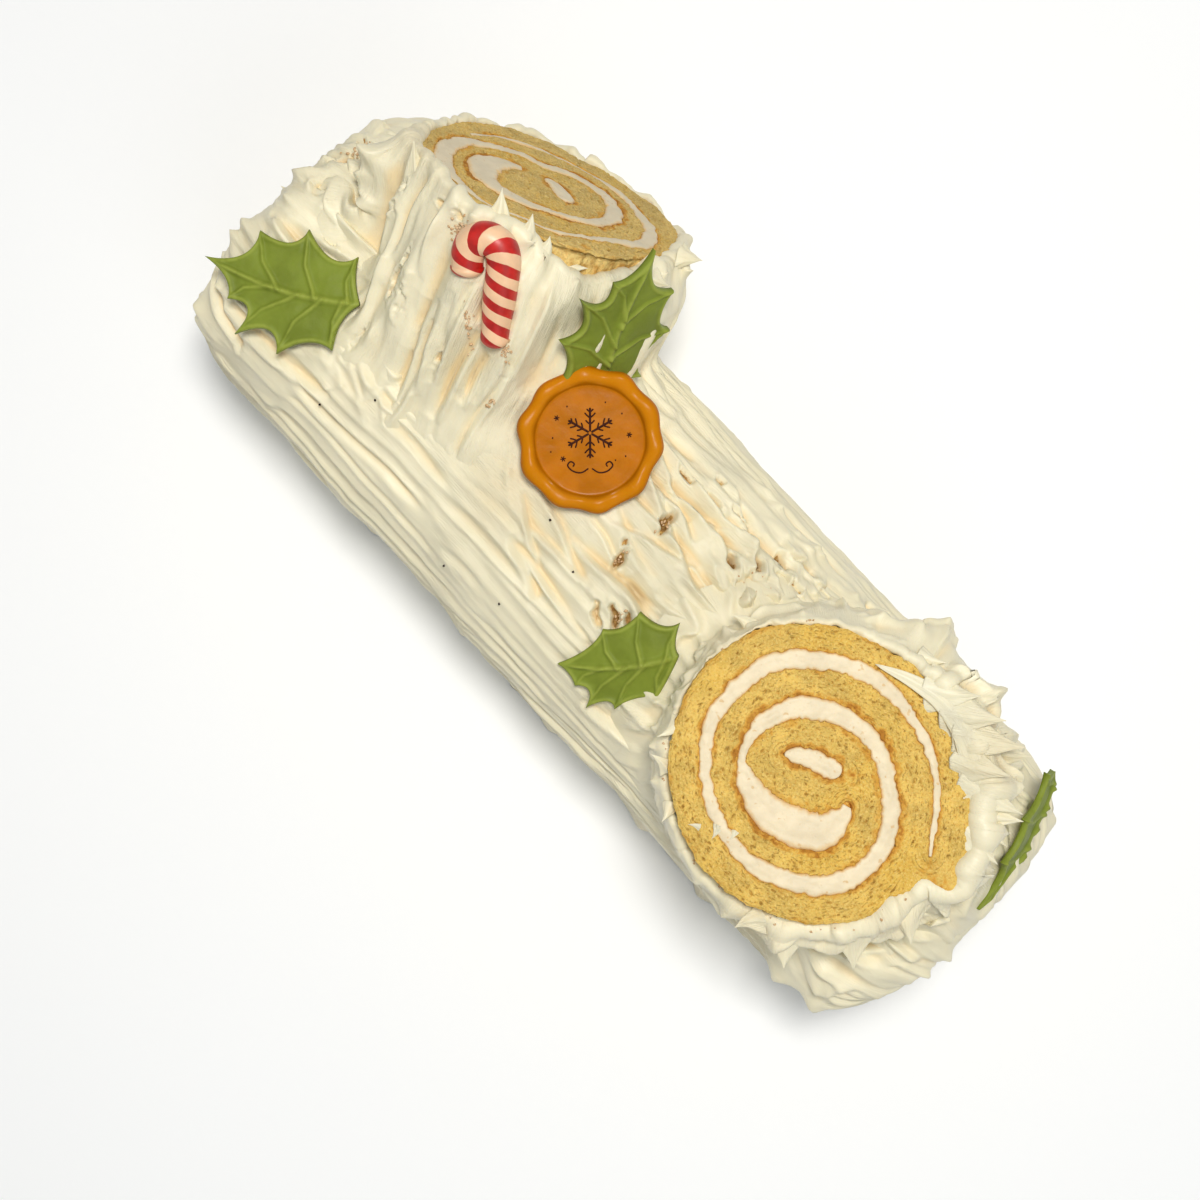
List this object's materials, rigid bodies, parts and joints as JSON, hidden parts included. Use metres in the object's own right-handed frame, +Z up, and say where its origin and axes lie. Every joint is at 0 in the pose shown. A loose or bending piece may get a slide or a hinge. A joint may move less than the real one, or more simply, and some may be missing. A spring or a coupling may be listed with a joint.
{
  "type": "yule log cake",
  "caption": "Christmas log of frosted Swiss roll with a spiral-cut slice on its crown, a spiral-cut side branch, a sugar cane, a round seal and holly leaves.",
  "frame": {"origin": "middle of the log's flat underside", "axes": "+Z up, +X along the log towards the end with the slice on its crown, +Y towards the side that the branch stands out of"},
  "size_m": [0.3086, 0.1437, 0.1384],
  "materials": {
    "frosting": "satin",
    "sponge": "matte",
    "filling": "satin",
    "branch_sponge": "matte",
    "branch_filling": "satin",
    "cane": "gloss",
    "seal": "satin",
    "leaf": "satin"
  },
  "bodies": {
    "root": {"frosted_log": "frosting", "crown_sponge": "sponge", "crown_cream": "filling", "crown_cream_heart": "filling", "branch_sponge": "branch_sponge", "branch_cream": "branch_filling", "branch_cream_heart": "branch_filling", "candy_cane": "cane", "seal": "seal", "holly_leaf_1": "leaf", "holly_leaf_2": "leaf", "holly_leaf_3": "leaf", "holly_leaf_4": "leaf"}
  },
  "joints": []
}
